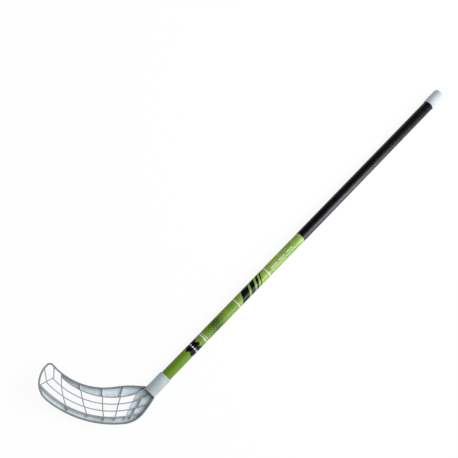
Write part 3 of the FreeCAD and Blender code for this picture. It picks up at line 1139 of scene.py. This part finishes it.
# %% Turn the cap
cap_mouth_radius, cap_taper_share, cap_round, cap_wall = 11.2 * mm, 0.4, 4.0 * mm, 3.0 * mm
cap_lip_round, cap_shoulder_round, cap_play = 0.5 * mm, 6 * mm, 0.1 * mm
cap_base, cap_roughness, cap_specular = (0.42, 0.448, 0.48), 0.30, 0.25
tube_low, tube_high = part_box("shaft_tube")
cap_bore = (tube_high.z - tube_low.z) / 2 + cap_play
bore_floor = cap_high.x - cap_wall
taper_end = cap_low.x + cap_taper_share * (cap_high.x - cap_low.x)
cap_mesh = turned("cap", edge_profile(
    (bore_floor, 0.0, 0), (bore_floor, cap_bore, 0), (cap_low.x, cap_bore, 0),
    (cap_low.x, cap_mouth_radius, cap_lip_round), (taper_end, cap_radius, cap_shoulder_round),
    (cap_high.x, cap_radius, cap_round), (cap_high.x, 0.0, 0)))


def cap_plastic():
    """Pale moulded plastic."""
    material, tree, shader, place = new_finish(
        "cap_moulded_plastic", cap_base, cap_roughness, cap_specular)
    moulded(tree, shader, place, cap_base, cap_roughness)
    return material


show("end_cap_moulding", cap_mesh, cap_plastic(), "end_cap")
print("cap faces:", len(cap_mesh.polygons))

# %% [markdown]
# ## Tube
# The composite tube is inside the film and the grip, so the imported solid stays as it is. It only gets a
# finish of wound fibre: a distorted wave that runs diagonally, in two dark tones.

# %% Dress the tube
fibre_base, fibre_roughness, fibre_pitch, fibre_depth = (0.05, 0.05, 0.055), 0.45, 3 * mm, 0.03 * mm
fibre_dark, fibre_pale = (0.03, 0.03, 0.034), (0.08, 0.08, 0.085)


def wound_fibre():
    """Dark composite with a diagonal winding."""
    material, tree, shader, place = new_finish("wound_fibre", fibre_base, fibre_roughness)
    winding = {"Vector": place, "Scale": 1 / fibre_pitch, "Distortion": 1.5, "Detail": 2.0}
    weave = add(tree, "ShaderNodeTexWave", winding, bands_direction="DIAGONAL").outputs["Fac"]
    tree.links.new(mixed(tree, weave, fibre_dark, fibre_pale), shader.inputs["Base Color"])
    grained(tree, shader, weave, fibre_depth, 0.3)
    return material


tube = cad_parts["shaft_tube"]
tube.data.materials.clear()
tube.data.materials.append(wound_fibre())
print("tube finish:", tube.data.materials[0].name)

# %% [markdown]
# ## Screw: the thread and the steel
# The screw's thread is a spiral with a pointed section, which a small node tree sweeps. A stack of rings
# would be simpler, but it would not climb. The steel is bright, with fine marks in its shine.

# %% Thread tree and steel
steel_base, steel_dark, steel_pale = (0.56, 0.56, 0.57), (0.46, 0.46, 0.47), (0.62, 0.62, 0.63)
steel_roughness, steel_shine, mark_size, mark_depth = 0.32, (0.24, 0.42), 0.5 * mm, 0.01 * mm


def thread_tree():
    """Tree that puts a spiral thread on each point of the guide."""
    tree = new_tree("screw_thread", ("Radius", "Height", "Turns", "Crest"))
    given = tree.nodes.new("NodeGroupInput").outputs
    spiral = add(tree, "GeometryNodeCurveSpiral", {
        "Resolution": 24, "Rotations": given["Turns"], "Start Radius": given["Radius"],
        "End Radius": given["Radius"], "Height": given["Height"]})
    section = add(tree, "GeometryNodeCurvePrimitiveCircle", {"Resolution": 3, "Radius": given["Crest"]})
    swept = add(tree, "GeometryNodeCurveToMesh", {
        "Curve": spiral.outputs["Curve"], "Profile Curve": section.outputs["Curve"], "Fill Caps": True})
    placed = add(tree, "GeometryNodeInstanceOnPoints", {
        "Points": given["Guide"], "Instance": swept.outputs["Mesh"]})
    return coat(tree, placed.outputs["Instances"], given["Material"])


def brushed_steel():
    """Bright steel with fine turning marks."""
    material, tree, shader, place = new_finish(
        "screw_bright_steel", steel_base, steel_roughness, metallic=1.0)
    marks = clouds(tree, place, mark_size, 4.0)
    tree.links.new(ramp(tree, marks, *noise_range, *steel_shine), shader.inputs["Roughness"])
    tree.links.new(mixed(tree, marks, steel_dark, steel_pale), shader.inputs["Base Color"])
    grained(tree, shader, marks, mark_depth, 0.3)
    return material


steel, spiral_tree = brushed_steel(), thread_tree()
print("thread tree nodes:", len(spiral_tree.nodes))

# %% [markdown]
# ## Screw: core, head and recess
# The core and the rounded head are one lathe profile. A cross-shaped block cuts the recess for the
# driver, and a union joins the thread to the core.

# %% Make the screw
screw_length, screw_tip, head_height = 9.0 * mm, 2.0 * mm, 1.6 * mm
core_radius, thread_crest, thread_turns, thread_height = 1.22 * mm, 0.26 * mm, 6.0, 5.5 * mm
recess_arm, recess_half, recess_depth, recess_over = 1.7 * mm, 0.4 * mm, 1.0 * mm, 1.0 * mm
tip_round, head_foot_round, head_round = 0.3 * mm, 0.12 * mm, 1.1 * mm
tip_end, head_top = seat_place - screw_length, seat_place + head_height
screw_mesh = on_screw_axis("screw", edge_profile(
    (tip_end, 0.0, 0), (tip_end + screw_tip, core_radius, tip_round),
    (seat_place, core_radius, 0), (seat_place, screw_head_radius, head_foot_round),
    (head_top, screw_head_radius, head_round), (head_top, 0.0, 0)), sides=48)
recess_path = []
for x, y in ((1, 0), (0, 1), (-1, 0), (0, -1)):
    arm, side = Vector((x, y)), Vector((-y, x))
    recess_path.append(arm * recess_arm - side * recess_half)
    recess_path.append(arm * recess_arm + side * recess_half)
    recess_path.append((arm + side) * recess_half)
recess_tool = prism("recess_tool", recess_path, head_top - recess_depth, head_top + recess_over)
recess_tool.transform(screw_turn)
screw_mesh = combine(screw_mesh, recess_tool, "DIFFERENCE")
thread_guide = bpy.data.meshes.new("thread_guide")
thread_guide.from_pydata([(0, 0, tip_end + screw_tip)], [], [])
thread = grow(thread_guide, spiral_tree, {
    "Radius": core_radius, "Height": thread_height, "Turns": thread_turns, "Crest": thread_crest,
    "Material": steel})
thread.transform(screw_turn)
screw_mesh = finished(combine(screw_mesh, thread, "UNION"))
show("blade_screw_turned", screw_mesh, steel, "blade_screw")
print("screw faces:", len(screw_mesh.polygons))
